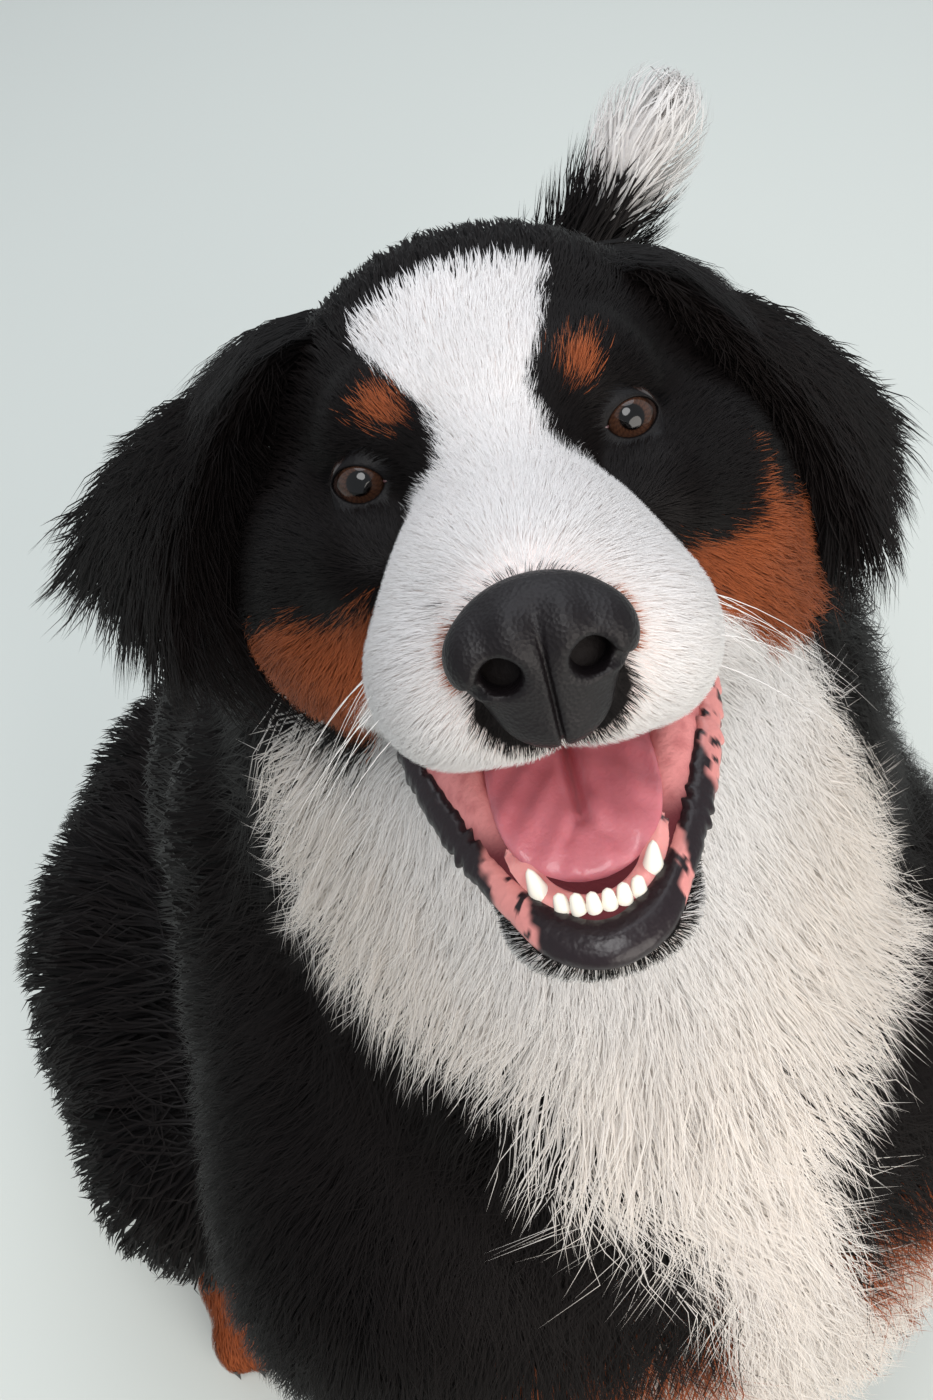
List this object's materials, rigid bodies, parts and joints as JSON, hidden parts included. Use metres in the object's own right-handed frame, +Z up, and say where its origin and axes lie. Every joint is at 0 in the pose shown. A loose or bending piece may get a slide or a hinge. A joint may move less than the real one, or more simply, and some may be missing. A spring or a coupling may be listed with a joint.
{
  "type": "bernese mountain dog",
  "caption": "Sitting long-coated mountain dog with raised head, open mouth and lifted tail, black with white blaze and chest and rust marks; a still display model.",
  "frame": {"origin": "middle of the bounding box in X and Y, on the floor at Z = 0", "axes": "the body faces -Y, +X is towards the dog's left side, +Z is up"},
  "size_m": [0.7776, 0.9078, 0.8602],
  "materials": {
    "black_coat": "long, soft, slightly glossy black hair",
    "white_coat": "long, soft white hair, creamy at the throat",
    "rust_coat": "short to long rust-brown hair",
    "iris": "wet, dark brown eye",
    "nose_leather": "damp, finely pebbled, dark violet-grey",
    "tongue_flesh": "wet pink tongue",
    "lip_flesh": "dark wet lips over pink gums, white hair below",
    "tooth_enamel": "glossy ivory enamel",
    "claw_horn": "dark horn"
  },
  "bodies": {
    "root": {"eye_left": "iris", "eye_right": "iris", "nose": "nose_leather", "tongue": "tongue_flesh", "canine_left": "tooth_enamel", "canine_right": "tooth_enamel", "incisors": "tooth_enamel", "lower_jaw": "lip_flesh", "ear_left": "black_coat", "ear_right": "black_coat", "claw_front_left_1": "claw_horn", "claw_front_left_2": "claw_horn", "claw_front_left_3": "claw_horn", "claw_front_left_4": "claw_horn", "claw_hind_left_1": "claw_horn", "claw_hind_left_2": "claw_horn", "claw_hind_left_3": "claw_horn", "claw_hind_left_4": "claw_horn", "claw_front_right_1": "claw_horn", "claw_front_right_2": "claw_horn", "claw_front_right_3": "claw_horn", "claw_front_right_4": "claw_horn", "claw_hind_right_1": "claw_horn", "claw_hind_right_2": "claw_horn", "claw_hind_right_3": "claw_horn", "claw_hind_right_4": "claw_horn", "muzzle": "white_coat", "head": "black_coat", "chest": "white_coat", "neck": "black_coat", "tail_tip": "white_coat", "tail": "black_coat", "hind_foot_left": "rust_coat", "thigh_left": "black_coat", "front_paw_left": "white_coat", "front_leg_left": "rust_coat", "hind_foot_right": "rust_coat", "thigh_right": "black_coat", "front_paw_right": "white_coat", "front_leg_right": "rust_coat", "rump": "black_coat", "torso": "black_coat"}
  },
  "joints": []
}
